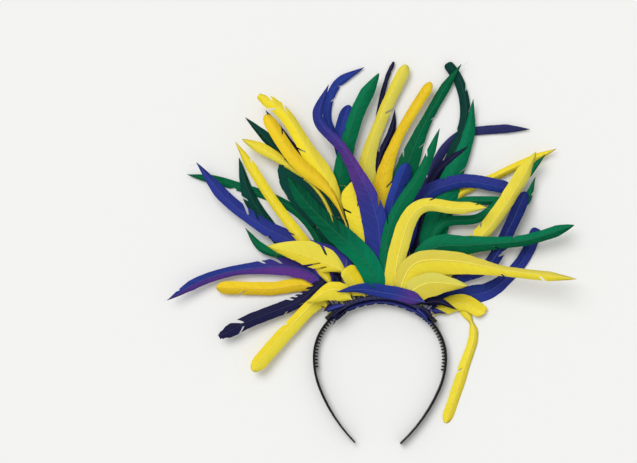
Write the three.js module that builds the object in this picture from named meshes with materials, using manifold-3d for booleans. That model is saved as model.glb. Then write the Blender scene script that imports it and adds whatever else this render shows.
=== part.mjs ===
// Carnival feather headdress: a toothed plastic hair band with a fan of dyed feathers at its crown,
// lying on its lower edge. Millimetres, +Z up, +X to the right and +Y from the tips to the fan.

import * as THREE from 'three';
import { mergeVertices } from 'three/addons/utils/BufferGeometryUtils.js';
import Module from 'manifold-3d';

const wasm = await Module();
wasm.setup();

// Hair band
const BAND_THICK = 2.2;
const BAND_BREADTH = 10;
const BAND_BEVEL = 0.5;
const BAND_TIP_THICK = 1.3;
const CROWN_TOP = 53.8;
const CROWN_RADIUS = 69;
// Right half of the band's middle line, from the crown down to the tip.
const BAND_ARCS = [
  { name: 'crown', radius: CROWN_RADIUS, turn: 40, steps: 8 },
  { name: 'shoulder', radius: 49, turn: 50, steps: 10 },
  { name: 'cheek', radius: 75, turn: 22, steps: 5 },
  { name: 'leg', radius: 150, turn: 24, steps: 6 },
];

// Comb teeth inside the band
const TOOTH_PITCH = 3.3;
const TOOTH_COUNT = 18;
const TOOTH_START = 45;
const TOOTH_LENGTH = 2.7;
const TOOTH_SINK = 0.5;
const TOOTH_ROOT = 1.6;
const TOOTH_TIP = 0.9;
const TOOTH_BREADTH = 4;

// Binding that holds the quills against the crown
const CLEARANCE = 0.3;
const BINDING_THICK = 3.2;
const BINDING_REACH = 46;

// Heap of feathers: each layer lies a step above the last one and lifts a little more.
const LAYER_STEP = 1.25;
const LAYER_COUNT = 15;
const LIFT_FIRST = 0.7;
const LIFT_GROWTH = 0.015;
const DROOP_LENGTH = 420;

// Feather blades
const QUILL_WIDTH = 2;
const RACHIS_THICK = 1;
const EDGE_THICK = 0.8;
const CUP_SHARE = 0.12;
const VANE_FADE = 0.18;
const VANE_START = 12;
const TIP_LEAST = 0.07;
const STATION_PITCH = 24;

// Tip length as a share of the blade width, and the width left over a tip that runs from 1 to 0.
const round = (left) => Math.sqrt(1 - (1 - left) ** 2);
const TIPS = {
  point: { length: 2.6, width: (left) => left ** 0.8 },
  round: { length: 0.9, width: round },
  blunt: { length: 0.45, width: (left) => 0.35 + 0.65 * round(left) },
  fray: { length: 0.8, width: (left) => 0.5 + 0.5 * left },
  leaf: { length: 1.5, width: (left) => left ** 0.7 },
};
const TIP_STATIONS = [1, 0.7, 0.4, 0.16, 0];

const DYES = {
  yellow: 0xe3d14b,
  amber: 0xe0c842,
  green: 0x076e43,
  forest: 0x1d4a45,
  purple: 0x3a4492,
  plum: 0x23224a,
};

// One row for each feather. Seat is the quill's angle round the crown, layer its place in the heap,
// bare the length of quill before the vane, and path the middle line from the quill to the tip. Slant,
// where there is one, is how far the right edge of the tip leads the left.
const COLUMNS = ['dye', 'seat', 'layer', 'vane', 'blade', 'neck', 'bare', 'tip', 'path', 'slant'];
const FEATHERS = {
  yellow: [
    ['yellow', -40, 6, 14, 15, 0.5, 4, 'round', [[-56, 52], [-87, 23], [-119, -15]]],
    ['amber', -41, 2, 13, 13, 0.5, 4, 'round', [[-67, 65], [-105, 62], [-155, 62]]],
    ['yellow', -22, 12, 18, 16, 0.6, 0, 'leaf', [[-43, 62], [-70, 50]]],
    ['yellow', -10, 10, 24, 25, 0.6, 34, 'leaf', [[-38, 82], [-70, 96], [-107, 102]]],
    ['yellow', -12, 11, 20, 18, 0.6, 0, 'blunt', [[-24, 70], [-34, 84]]],
    ['yellow', -29, 7, 11, 10, 0.5, 22, 'point', [[-68, 99], [-102, 142], [-140, 198]]],
    ['yellow', -20, 6, 3.5, 11, 0.74, 42, 'round', [[-58, 149], [-101, 185], [-134, 201]]],
    ['yellow', -9, 7, 24, 13, 0.6, 95, 'fray', [[-45, 148], [-73, 192], [-97, 227], [-120, 242]]],
    ['amber', -11, 8, 13, 13, 0.5, 95, 'round', [[-47, 148], [-85, 184], [-113, 224]]],
    ['yellow', -1, 9, 24, 21, 0.7, 22, 'blunt', [[-17, 112], [-35, 160]], 0.5],
    ['yellow', 1, 2, 24, 12, 0.52, 42, 'round', [[-17, 176], [-5, 222], [18, 275]]],
    ['amber', 8, 3, 20, 10, 0.55, 42, 'round', [[-2, 157], [10, 203], [41, 259]]],
    ['yellow', 29, 2, 8.5, 7.5, 0.5, 42, 'point', [[64, 147], [108, 175], [160, 200]]],
    ['yellow', 25, 6, 15, 15, 0.5, 4, 'leaf', [[74, 99], [105, 136], [140, 196]]],
    ['yellow', 7, 12, 18, 12, 0.55, 0, 'blunt',
      [[14, 100], [26, 136], [38, 144], [66, 142], [94, 143]], -0.5],
    ['yellow', 12.5, 13, 23, 9.5, 0.5, 0, 'point', [[30, 87], [62, 91], [117, 84], [179, 79]]],
    ['yellow', 17, 14, 24, 22, 0.7, 0, 'blunt', [[40, 69], [79, 70]], -0.5],
    ['yellow', 38.5, 2, 16, 14, 0.7, 4, 'blunt', [[76, 54], [97, 44]], -0.3],
    ['yellow', 42, 1, 9, 11, 0.55, 4, 'round', [[68, 53], [87, 30], [78.5, -10], [63.5, -60]]],
  ],
  green: [
    ['green', -39, 3, 8.5, 8.5, 0.5, 42, 'point', [[-77, 88], [-113, 100], [-129, 118]]],
    ['green', -25, 0, 8.5, 8.5, 0.5, 42, 'point', [[-78, 132], [-144, 159], [-185, 167]]],
    ['forest', -36, 1, 13, 13, 0.5, 42, 'point', [[-97, 108], [-126, 147], [-137, 184]]],
    ['green', 0, 12, 22, 15, 0.6, 0, 'leaf', [[-18, 93], [-47, 119], [-73, 144], [-91, 167]]],
    ['forest', -15, 5, 36, 38, 0.6, 22, 'round', [[-40, 117], [-68, 149], [-96, 183]]],
    ['forest', -18, 0, 11, 10, 0.5, 42, 'point', [[-70, 156], [-106, 198], [-132, 222]]],
    ['green', -22, 4, 18, 14, 0.6, 42, 'leaf', [[-40, 137], [-39, 180], [-25, 234], [-8, 266]]],
    ['green', 13, 2, 25, 10, 0.6, 42, 'point', [[17, 158], [30, 205], [53, 252], [69, 277]]],
    ['forest', 22, 1, 11, 10, 0.5, 42, 'blunt', [[52, 163], [74, 228], [68, 260], [56, 278]]],
    ['green', 2.5, 11, 14, 8.5, 0.7, 4, 'point', [[7, 122], [35, 176], [49, 215]]],
    ['green', 24, 3, 25, 12, 0.66, 42, 'point', [[59, 159], [77, 208], [81, 244]]],
    ['green', 31, 5, 10, 8.5, 0.5, 42, 'point', [[53, 125], [90, 134], [122, 164], [149, 194]]],
    ['green', 27, 4, 8.5, 8.5, 0.5, 42, 'point', [[64, 143], [99, 150], [130, 148], [141, 173]]],
    ['green', 21, 7, 22, 11, 0.5, 4, 'leaf', [[44, 102], [81, 108], [133, 114], [177, 129]]],
  ],
  purple: [
    ['plum', -32, 5, 7.5, 13, 0.3, 4, 'fray', [[-44, 76], [-76, 52], [-122, 32], [-151, 16]]],
    ['purple', -34, 4, 19, 10, 0.45, 22, 'point', [[-68, 79], [-127, 80], [-169, 68], [-200, 49]]],
    ['purple', -17, 9, 14, 12, 0.6, 4, 'point', [[-40, 93], [-68, 109]]],
    ['purple', -27, 6, 18, 13, 0.5, 22, 'point', [[-68, 97], [-113, 121], [-148, 146], [-176, 178]]],
    ['plum', -8, 0, 11, 9.5, 0.5, 42, 'point', [[-60, 165], [-94, 202], [-113, 229]]],
    ['purple', -4, 0, 9.5, 8.5, 0.6, 42, 'point', [[-31, 180], [-55, 222], [-48, 254], [-22, 272]]],
    ['purple', -1.5, 10, 24, 10, 0.5, 0, 'point', [[-10, 133], [-38, 191], [-64, 222], [-55, 253]]],
    ['purple', -6, 3, 14, 14, 0.5, 42, 'round', [[-31, 166], [-42, 203], [-35, 236]]],
    ['plum', 3, 0, 4.5, 4.5, 0.5, 42, 'fray', [[-9, 209], [0, 263], [6, 278]]],
    ['plum', 6, 1, 8.5, 7.5, 0.5, 42, 'point', [[-6, 181], [6, 214], [8, 233]]],
    ['purple', 10, 6, 17, 15, 0.7, 22, 'round', [[8, 137], [21, 183]]],
    ['plum', 20, 2, 9.5, 7.5, 0.5, 42, 'point', [[45, 168], [57, 184], [77, 200]]],
    ['plum', 17, 0, 9.5, 8.5, 0.5, 42, 'point', [[43, 173], [67, 209], [103, 217], [135, 218]]],
    ['purple', 15, 4, 16, 13, 0.6, 42, 'round', [[32, 147], [69, 167], [119, 162]]],
    ['purple', 34, 5, 13, 13, 0.5, 22, 'round', [[68, 75], [99, 89], [118, 125], [132, 159]]],
    ['purple', 36, 0, 18, 12, 0.5, 4, 'blunt', [[69, 58], [102, 66], [131, 94], [145, 125]]],
    ['plum', 27, 8, 9, 7, 0.5, 4, 'point', [[52, 55], [71, 47]]],
    ['purple', 36.5, 4, 6.5, 5, 0.5, 4, 'point', [[52, 45], [62, 43]]],
    ['plum', -31, 7, 5, 4, 0.5, 8, 'leaf', [[-46, 48.5], [-54, 42]]],
  ],
};

// Feathers that lie along the crown itself: no quill seat, and a layer or a height of their own.
const BAND_TOP = BAND_BREADTH + CLEARANCE + RACHIS_THICK / 2;
const PRONG_TOP = BAND_TOP + RACHIS_THICK + CLEARANCE;
const CROWN_COLUMNS = ['name', 'dye', 'layer', 'height', 'vane', 'blade', 'neck', 'bare', 'tip', 'path'];
const CROWN_FEATHERS = [
  ['purple_crown_feather', 'purple', LAYER_COUNT, null, 13, 12, 0.5, 0, 'point',
    [[40, 54], [19, 60], [0, 63], [-20, 65], [-42, 61]]],
  ['purple_band_feather', 'purple', null, BAND_TOP, 4.8, 4.8, 0.5, 0, 'point',
    [[48, 33], [32, 44.5], [0, 52.7], [-32, 44.5], [-48, 33]]],
  ['purple_prong_feather', 'plum', null, PRONG_TOP, 4, 3.5, 0.5, 0, 'point',
    [[-32, 44.5], [-40, 37], [-45, 30]]],
];

const CROWN_CENTRE = new THREE.Vector2(0, CROWN_TOP - CROWN_RADIUS);
const BINDING_INNER = CROWN_RADIUS + BAND_THICK / 2 + CLEARANCE;
const BINDING_OUTER = BINDING_INNER + BINDING_THICK;
const BINDING_HEIGHT = LAYER_COUNT * LAYER_STEP - CLEARANCE;
const SEAT_RADIUS = BINDING_OUTER + CLEARANCE;

const toRadians = THREE.MathUtils.degToRad;
const smooth = (x, from, to) => THREE.MathUtils.smoothstep(x, from, to);

function namedRow(columns, row) {
  return Object.fromEntries(columns.map((column, i) => [column, row[i]]));
}

function makeMesh(name, geometry, colour, roughness) {
  const material = new THREE.MeshStandardMaterial({ color: colour, roughness, metalness: 0 });
  const mesh = new THREE.Mesh(geometry, material);
  mesh.name = name;
  return mesh;
}

// Closed geometry to a solid that can be joined.
function toSolid(geometry) {
  const bare = geometry.index ? geometry.clone() : geometry;
  bare.deleteAttribute('normal');
  bare.deleteAttribute('uv');
  const merged = mergeVertices(bare, 1e-4);
  return new wasm.Manifold(new wasm.Mesh({
    numProp: 3,
    vertProperties: new Float32Array(merged.attributes.position.array),
    triVerts: new Uint32Array(merged.index.array),
  }));
}

function toGeometry(solid) {
  const mesh = solid.getMesh();
  const geometry = new THREE.BufferGeometry();
  geometry.setAttribute('position', new THREE.BufferAttribute(mesh.vertProperties, 3));
  geometry.setIndex(new THREE.BufferAttribute(mesh.triVerts, 1));
  geometry.computeVertexNormals();
  return geometry;
}

// Points along the right half of the band, each with its heading (turned down from +X) and its
// distance from the crown.
function bandHalf() {
  const points = [{ x: 0, y: CROWN_TOP, heading: 0, along: 0 }];
  for (const arc of BAND_ARCS) {
    const start = points.at(-1);
    const centre = {
      x: start.x - arc.radius * Math.sin(start.heading),
      y: start.y - arc.radius * Math.cos(start.heading),
    };
    for (let step = 1; step <= arc.steps; step += 1) {
      const swept = toRadians(arc.turn) * step / arc.steps;
      const heading = start.heading + swept;
      points.push({
        x: centre.x + arc.radius * Math.sin(heading),
        y: centre.y + arc.radius * Math.cos(heading),
        heading,
        along: start.along + arc.radius * swept,
      });
    }
  }
  return points;
}

// A point set off outwards from the band's middle line.
function offBand(point, outwards) {
  return new THREE.Vector2(
    point.x + outwards * Math.sin(point.heading),
    point.y + outwards * Math.cos(point.heading),
  );
}

// Half the band's thickness, which thins along the leg to the tip.
function bandReach(half, point) {
  const end = half.at(-1);
  const leg = BAND_ARCS.at(-1);
  const legLength = leg.radius * toRadians(leg.turn);
  const thinned = smooth(point.along, end.along - legLength, end.along);
  return THREE.MathUtils.lerp(BAND_THICK, BAND_TIP_THICK, thinned) / 2;
}

function bandShape(half) {
  const end = half.at(-1);
  const rightOuter = half.map((point) => offBand(point, bandReach(half, point)));
  const rightInner = half.map((point) => offBand(point, -bandReach(half, point))).reverse();
  const cap = new THREE.Vector2(
    end.x + BAND_TIP_THICK / 2 * Math.cos(end.heading),
    end.y - BAND_TIP_THICK / 2 * Math.sin(end.heading),
  );
  const right = [...rightOuter, cap, ...rightInner];
  const mirrored = right.slice(1, -1).reverse().map((point) => new THREE.Vector2(-point.x, point.y));
  return new THREE.Shape([...right, ...mirrored]);
}

// A tapered tooth that points from the band's inner face into the loop.
function toothGeometry(place, side) {
  const length = TOOTH_LENGTH + TOOTH_SINK;
  const outline = new THREE.Shape([
    new THREE.Vector2(-TOOTH_ROOT / 2, 0),
    new THREE.Vector2(TOOTH_ROOT / 2, 0),
    new THREE.Vector2(TOOTH_TIP / 2, length),
    new THREE.Vector2(-TOOTH_TIP / 2, length),
  ]);
  const geometry = new THREE.ExtrudeGeometry(outline, { depth: TOOTH_BREADTH, bevelEnabled: false });
  const root = offBand(place, TOOTH_SINK - BAND_THICK / 2);
  geometry.rotateZ(side * (Math.PI - place.heading));
  geometry.translate(side * root.x, root.y, (BAND_BREADTH - TOOTH_BREADTH) / 2);
  return geometry;
}

// The place on the band at a distance from the crown.
function placeAlong(half, along) {
  const next = half.findIndex((point) => point.along >= along);
  const a = half[next - 1];
  const b = half[next];
  const share = (along - a.along) / (b.along - a.along);
  return {
    x: THREE.MathUtils.lerp(a.x, b.x, share),
    y: THREE.MathUtils.lerp(a.y, b.y, share),
    heading: THREE.MathUtils.lerp(a.heading, b.heading, share),
  };
}

function headband() {
  const half = bandHalf();
  const blank = new THREE.ExtrudeGeometry(bandShape(half), {
    depth: BAND_BREADTH - 2 * BAND_BEVEL,
    bevelThickness: BAND_BEVEL,
    bevelSize: BAND_BEVEL,
    bevelOffset: -BAND_BEVEL,
    bevelSegments: 1,
  });
  blank.translate(0, 0, BAND_BEVEL);
  let solid = toSolid(blank);
  for (let tooth = 0; tooth < TOOTH_COUNT; tooth += 1) {
    const place = placeAlong(half, TOOTH_START + tooth * TOOTH_PITCH);
    for (const side of [-1, 1]) {
      solid = solid.add(toSolid(toothGeometry(place, side)));
    }
  }
  return makeMesh('headband', toGeometry(solid), 0x282924, 0.35);
}

// Arc of wound tape on the crown's outer face.
function binding() {
  const from = toRadians(90 + BINDING_REACH);
  const to = toRadians(90 - BINDING_REACH);
  const outline = new THREE.Shape();
  outline.absarc(CROWN_CENTRE.x, CROWN_CENTRE.y, BINDING_OUTER, from, to, true);
  outline.absarc(CROWN_CENTRE.x, CROWN_CENTRE.y, BINDING_INNER, to, from, false);
  outline.closePath();
  const geometry = new THREE.ExtrudeGeometry(outline, {
    depth: BINDING_HEIGHT,
    bevelEnabled: false,
    curveSegments: 20,
  });
  return makeMesh('binding', geometry, 0x2a2a5c, 0.8);
}

const liftOf = (layer) => Math.tan(toRadians(LIFT_FIRST * layer + LIFT_GROWTH * layer ** 2));

// Run of a sheet out from the binding: it rises, then droops towards the tips.
function runOut(x, y) {
  const out = Math.max(0, Math.hypot(x - CROWN_CENTRE.x, y - CROWN_CENTRE.y) - SEAT_RADIUS);
  return out * (1 - out / DROOP_LENGTH);
}

function layerHeight(layer, x, y) {
  return RACHIS_THICK / 2 + layer * LAYER_STEP + runOut(x, y) * liftOf(layer);
}

// How far the edges of a blade may hang into the space over the layer below.
function layerSlack(layer, x, y) {
  return layer === 0 ? 0 : 0.55 * runOut(x, y) * (liftOf(layer) - liftOf(layer - 1));
}

function bladeWidth(feather, share, length) {
  const neck = smooth(share, feather.neck - VANE_FADE, feather.neck + VANE_FADE);
  const broad = THREE.MathUtils.lerp(feather.vane, feather.blade, neck);
  const bare = Math.min(0.52, feather.bare / length);
  const opening = Math.min(0.2, (VANE_START + feather.bare / 4) / length);
  const open = smooth(share, bare * 0.75, bare + opening);
  const tip = TIPS[feather.tip];
  const left = Math.min(1, (1 - share) * length / (tip.length * feather.blade));
  return THREE.MathUtils.lerp(QUILL_WIDTH, broad, open) * Math.max(TIP_LEAST, tip.width(left));
}

// Shares of the length at which a feather gets a section: even steps, then closer ones at the tip.
function stationShares(feather, length) {
  const tipShare = TIPS[feather.tip].length * feather.blade / length;
  const steps = Math.max(3, Math.round((1 - tipShare) * length / STATION_PITCH) + 1);
  const even = Array.from({ length: steps }, (_, i) => (1 - tipShare) * i / steps);
  return [...even, ...TIP_STATIONS.map((left) => 1 - tipShare * left)];
}

// A six-sided rod whose rows are laid along the feather's middle line: ridge over the quill, thin
// edges that hang a little.
function featherGeometry(feather, line) {
  const length = line.getLength();
  const shares = stationShares(feather, length);
  const rod = new THREE.CylinderGeometry(1, 1, 1, 6, shares.length - 1);
  const corner = Math.sin(Math.PI / 3);
  const rest = rod.attributes.position;
  for (let i = 0; i < rest.count; i += 1) {
    const row = Math.round((rest.getY(i) + 0.5) * (shares.length - 1));
    const share = shares[row];
    const middle = line.getPointAt(share);
    const along = line.getTangentAt(share);
    const half = bladeWidth(feather, share, length) / 2;
    const side = rest.getX(i) / corner;
    const isEdge = Math.abs(side) > 0.5;
    const lead = (feather.slant ?? 0) * side * half * smooth(share, 0.5, 1);
    const x = middle.x + along.y * side * half + along.x * lead;
    const y = middle.y - along.x * side * half + along.y * lead;
    const upper = Math.sign(rest.getZ(i));
    const centred = Math.hypot(rest.getX(i), rest.getZ(i)) < 0.5;
    const thick = centred ? 0 : upper * (isEdge ? EDGE_THICK : RACHIS_THICK) / 2;
    const height = feather.height ?? layerHeight(feather.layer, x, y);
    const slack = feather.height ? 0 : layerSlack(feather.layer, x, y);
    const hang = isEdge ? Math.min(CUP_SHARE * 2 * half, slack) : 0;
    rest.setXYZ(i, x, y, height + thick - hang);
  }
  return toGeometry(toSolid(rod));
}

// Where a quill stands on the binding: a slanting quill stands off by its own half width.
function quillSeat(angle, next) {
  const outwards = new THREE.Vector2(Math.sin(toRadians(angle)), Math.cos(toRadians(angle)));
  const wall = outwards.clone().multiplyScalar(SEAT_RADIUS).add(CROWN_CENTRE);
  const heading = next.clone().sub(wall).normalize();
  const slant = Math.abs(heading.cross(outwards));
  return wall.addScaledVector(outwards, slant * QUILL_WIDTH / 2);
}

const flatLine = (points) => new THREE.CatmullRomCurve3(points.map((p) => new THREE.Vector3(p.x, p.y, 0)));
const toVectors = (path) => path.map(([x, y]) => new THREE.Vector2(x, y));

function fanFeather(colour, number, row) {
  const feather = namedRow(COLUMNS, row);
  const path = toVectors(feather.path);
  const line = flatLine([quillSeat(feather.seat, path[0]), ...path]);
  const name = `${colour}_feather_${String(number).padStart(2, '0')}`;
  return makeMesh(name, featherGeometry(feather, line), DYES[feather.dye], 0.6);
}

function crownFeather(row) {
  const feather = namedRow(CROWN_COLUMNS, row);
  const line = flatLine(toVectors(feather.path));
  return makeMesh(feather.name, featherGeometry(feather, line), DYES[feather.dye], 0.6);
}

const pieces = new THREE.Group();
pieces.add(headband(), binding());
for (const [colour, rows] of Object.entries(FEATHERS)) {
  rows.forEach((row, i) => pieces.add(fanFeather(colour, i + 1, row)));
}
CROWN_FEATHERS.forEach((row) => pieces.add(crownFeather(row)));

// The origin lies under the middle of the whole headdress, on the surface it rests on.
const bounds = new THREE.Box3().setFromObject(pieces);
const middle = bounds.getCenter(new THREE.Vector3());
pieces.position.set(-middle.x, -middle.y, -bounds.min.z);

const headdress = new THREE.Group();
headdress.name = 'carnival_feather_headdress';
headdress.add(pieces);

export default headdress;
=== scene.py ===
"""Looks of a carnival feather headdress: dyed feathers bound to the crown of a toothed hair band."""

import logging
import math
import random
from dataclasses import dataclass, field
from enum import Enum
from typing import Optional, Sequence

import bpy
import numpy as np
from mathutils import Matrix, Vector


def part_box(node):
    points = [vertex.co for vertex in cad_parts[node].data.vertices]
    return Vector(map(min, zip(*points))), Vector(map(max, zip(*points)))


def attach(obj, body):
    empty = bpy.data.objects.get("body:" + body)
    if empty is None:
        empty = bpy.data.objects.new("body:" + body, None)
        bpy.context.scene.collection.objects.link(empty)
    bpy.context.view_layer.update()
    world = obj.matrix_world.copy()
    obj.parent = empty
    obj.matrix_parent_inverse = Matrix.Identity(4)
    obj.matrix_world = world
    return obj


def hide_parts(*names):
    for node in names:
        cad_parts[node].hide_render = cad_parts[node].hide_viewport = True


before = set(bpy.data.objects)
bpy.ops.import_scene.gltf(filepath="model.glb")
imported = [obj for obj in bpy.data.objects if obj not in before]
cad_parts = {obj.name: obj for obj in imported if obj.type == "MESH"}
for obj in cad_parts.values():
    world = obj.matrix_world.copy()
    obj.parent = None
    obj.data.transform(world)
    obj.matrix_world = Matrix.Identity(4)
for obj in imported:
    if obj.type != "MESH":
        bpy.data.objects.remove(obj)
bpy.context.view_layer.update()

MM = 0.001
IMAGE_SIZE = (637, 463)
LOG = logging.getLogger("headdress")
Colour = tuple[float, float, float]
Socket = bpy.types.NodeSocket
Inputs = dict[str | int, object]


class Dye(Enum):
    """Dye baths of the feathers."""

    YELLOW = "yellow"
    AMBER = "amber"
    GREEN = "green"
    FOREST = "forest"
    PURPLE = "purple"
    PLUM = "plum"


class Tip(Enum):
    """How a feather ends: the value is the tip's length as a share of the blade width."""

    POINT = 2.6
    ROUND = 0.9
    BLUNT = 0.45
    FRAY = 0.8
    LEAF = 1.5


Y, A, G, F, P, U = Dye.YELLOW, Dye.AMBER, Dye.GREEN, Dye.FOREST, Dye.PURPLE, Dye.PLUM


@dataclass(frozen=True)
class FeatherRow:
    """Sizes of one feather in millimetres, as the solids have them.

    Seat is the quill's angle round the crown, layer its place in the heap, neck the share of the length
    where the vane's width turns into the blade's, bare the length of quill before the vane, path the middle
    line from the quill to the tip, height the level of a feather that lies on no sheet, and slant how far
    the right edge of the tip leads the left.
    """

    dye: Dye
    seat: Optional[float]
    layer: Optional[int]
    vane: float
    blade: float
    neck: float
    bare: float
    tip: Tip
    path: tuple[tuple[float, float], ...]
    height: Optional[float] = None
    slant: float = 0.0


@dataclass(frozen=True)
class Split:
    """A gap between barbs: where along the feather, on which side, how deep and how wide (mm)."""

    share: float
    side: int
    depth: float
    gap: float


YELLOW_ROWS: list[FeatherRow] = [
    FeatherRow(Y, -40, 6, 14, 15, 0.5, 4, Tip.ROUND, ((-56, 52), (-87, 23), (-119, -15))),
    FeatherRow(A, -41, 2, 13, 13, 0.5, 4, Tip.ROUND, ((-67, 65), (-105, 62), (-155, 62))),
    FeatherRow(Y, -22, 12, 18, 16, 0.6, 0, Tip.LEAF, ((-43, 62), (-70, 50))),
    FeatherRow(Y, -10, 10, 24, 25, 0.6, 34, Tip.LEAF, ((-38, 82), (-70, 96), (-107, 102))),
    FeatherRow(Y, -12, 11, 20, 18, 0.6, 0, Tip.BLUNT, ((-24, 70), (-34, 84))),
    FeatherRow(Y, -29, 7, 11, 10, 0.5, 22, Tip.POINT, ((-68, 99), (-102, 142), (-140, 198))),
    FeatherRow(Y, -20, 6, 3.5, 11, 0.74, 42, Tip.ROUND, ((-58, 149), (-101, 185), (-134, 201))),
    FeatherRow(Y, -9, 7, 24, 13, 0.6, 95, Tip.FRAY, ((-45, 148), (-73, 192), (-97, 227), (-120, 242))),
    FeatherRow(A, -11, 8, 13, 13, 0.5, 95, Tip.ROUND, ((-47, 148), (-85, 184), (-113, 224))),
    FeatherRow(Y, -1, 9, 24, 21, 0.7, 22, Tip.BLUNT, ((-17, 112), (-35, 160)), slant=0.5),
    FeatherRow(Y, 1, 2, 24, 12, 0.52, 42, Tip.ROUND, ((-17, 176), (-5, 222), (18, 275))),
    FeatherRow(A, 8, 3, 20, 10, 0.55, 42, Tip.ROUND, ((-2, 157), (10, 203), (41, 259))),
    FeatherRow(Y, 29, 2, 8.5, 7.5, 0.5, 42, Tip.POINT, ((64, 147), (108, 175), (160, 200))),
    FeatherRow(Y, 25, 6, 15, 15, 0.5, 4, Tip.LEAF, ((74, 99), (105, 136), (140, 196))),
    FeatherRow(
        Y, 7, 12, 18, 12, 0.55, 0, Tip.BLUNT,
        ((14, 100), (26, 136), (38, 144), (66, 142), (94, 143)), slant=-0.5),
    FeatherRow(Y, 12.5, 13, 23, 9.5, 0.5, 0, Tip.POINT, ((30, 87), (62, 91), (117, 84), (179, 79))),
    FeatherRow(Y, 17, 14, 24, 22, 0.7, 0, Tip.BLUNT, ((40, 69), (79, 70)), slant=-0.5),
    FeatherRow(Y, 38.5, 2, 16, 14, 0.7, 4, Tip.BLUNT, ((76, 54), (97, 44)), slant=-0.3),
    FeatherRow(Y, 42, 1, 9, 11, 0.55, 4, Tip.ROUND, ((68, 53), (87, 30), (78.5, -10), (63.5, -60))),
]
GREEN_ROWS: list[FeatherRow] = [
    FeatherRow(G, -39, 3, 8.5, 8.5, 0.5, 42, Tip.POINT, ((-77, 88), (-113, 100), (-129, 118))),
    FeatherRow(G, -25, 0, 8.5, 8.5, 0.5, 42, Tip.POINT, ((-78, 132), (-144, 159), (-185, 167))),
    # green_feather_03: its dark forest colour is partly painted shade of a feather lying behind others.
    FeatherRow(F, -36, 1, 13, 13, 0.5, 42, Tip.POINT, ((-97, 108), (-126, 147), (-137, 184))),
    FeatherRow(G, 0, 12, 22, 15, 0.6, 0, Tip.LEAF, ((-18, 93), (-47, 119), (-73, 144), (-91, 167))),
    # green_feather_05: a broad dark sheet behind green_feather_04, whose forest colour is partly painted shade.
    FeatherRow(F, -15, 5, 36, 38, 0.6, 22, Tip.ROUND, ((-40, 117), (-68, 149), (-96, 183))),
    FeatherRow(F, -18, 0, 11, 10, 0.5, 42, Tip.POINT, ((-70, 156), (-106, 198), (-132, 222))),
    FeatherRow(G, -22, 4, 18, 14, 0.6, 42, Tip.LEAF, ((-40, 137), (-39, 180), (-25, 234), (-8, 266))),
    FeatherRow(G, 13, 2, 25, 10, 0.6, 42, Tip.POINT, ((17, 158), (30, 205), (53, 252), (69, 277))),
    FeatherRow(F, 22, 1, 11, 10, 0.5, 42, Tip.BLUNT, ((52, 163), (74, 228), (68, 260), (56, 278))),
    FeatherRow(G, 2.5, 11, 14, 8.5, 0.7, 4, Tip.POINT, ((7, 122), (35, 176), (49, 215))),
    FeatherRow(G, 24, 3, 25, 12, 0.66, 42, Tip.POINT, ((59, 159), (77, 208), (81, 244))),
    FeatherRow(G, 31, 5, 10, 8.5, 0.5, 42, Tip.POINT, ((53, 125), (90, 134), (122, 164), (149, 194))),
    FeatherRow(G, 27, 4, 8.5, 8.5, 0.5, 42, Tip.POINT, ((64, 143), (99, 150), (130, 148), (141, 173))),
    FeatherRow(G, 21, 7, 22, 11, 0.5, 4, Tip.LEAF, ((44, 102), (81, 108), (133, 114), (177, 129))),
]
PURPLE_ROWS: list[FeatherRow] = [
    FeatherRow(U, -32, 5, 7.5, 13, 0.3, 4, Tip.FRAY, ((-44, 76), (-76, 52), (-122, 32), (-151, 16))),
    FeatherRow(P, -34, 4, 19, 10, 0.45, 22, Tip.POINT, ((-68, 79), (-127, 80), (-169, 68), (-200, 49))),
    FeatherRow(P, -17, 9, 14, 12, 0.6, 4, Tip.POINT, ((-40, 93), (-68, 109))),
    FeatherRow(P, -27, 6, 18, 13, 0.5, 22, Tip.POINT, ((-68, 97), (-113, 121), (-148, 146), (-176, 178))),
    FeatherRow(U, -8, 0, 11, 9.5, 0.5, 42, Tip.POINT, ((-60, 165), (-94, 202), (-113, 229))),
    FeatherRow(P, -4, 0, 9.5, 8.5, 0.6, 42, Tip.POINT, ((-31, 180), (-55, 222), (-48, 254), (-22, 272))),
    FeatherRow(P, -1.5, 10, 24, 10, 0.5, 0, Tip.POINT, ((-10, 133), (-38, 191), (-64, 222), (-55, 253))),
    FeatherRow(P, -6, 3, 14, 14, 0.5, 42, Tip.ROUND, ((-31, 166), (-42, 203), (-35, 236))),
    FeatherRow(U, 3, 0, 4.5, 4.5, 0.5, 42, Tip.FRAY, ((-9, 209), (0, 263), (6, 278))),
    FeatherRow(U, 6, 1, 8.5, 7.5, 0.5, 42, Tip.POINT, ((-6, 181), (6, 214), (8, 233))),
    FeatherRow(P, 10, 6, 17, 15, 0.7, 22, Tip.ROUND, ((8, 137), (21, 183))),
    FeatherRow(U, 20, 2, 9.5, 7.5, 0.5, 42, Tip.POINT, ((45, 168), (57, 184), (77, 200))),
    FeatherRow(U, 17, 0, 9.5, 8.5, 0.5, 42, Tip.POINT, ((43, 173), (67, 209), (103, 217), (135, 218))),
    FeatherRow(P, 15, 4, 16, 13, 0.6, 42, Tip.ROUND, ((32, 147), (69, 167), (119, 162))),
    FeatherRow(P, 34, 5, 13, 13, 0.5, 22, Tip.ROUND, ((68, 75), (99, 89), (118, 125), (132, 159))),
    FeatherRow(P, 36, 0, 18, 12, 0.5, 4, Tip.BLUNT, ((69, 58), (102, 66), (131, 94), (145, 125))),
    FeatherRow(U, 27, 8, 9, 7, 0.5, 4, Tip.POINT, ((52, 55), (71, 47))),
    FeatherRow(P, 36.5, 4, 6.5, 5, 0.5, 4, Tip.POINT, ((52, 45), (62, 43))),
    FeatherRow(U, -31, 7, 5, 4, 0.5, 8, Tip.LEAF, ((-46, 48.5), (-54, 42))),
]
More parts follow.
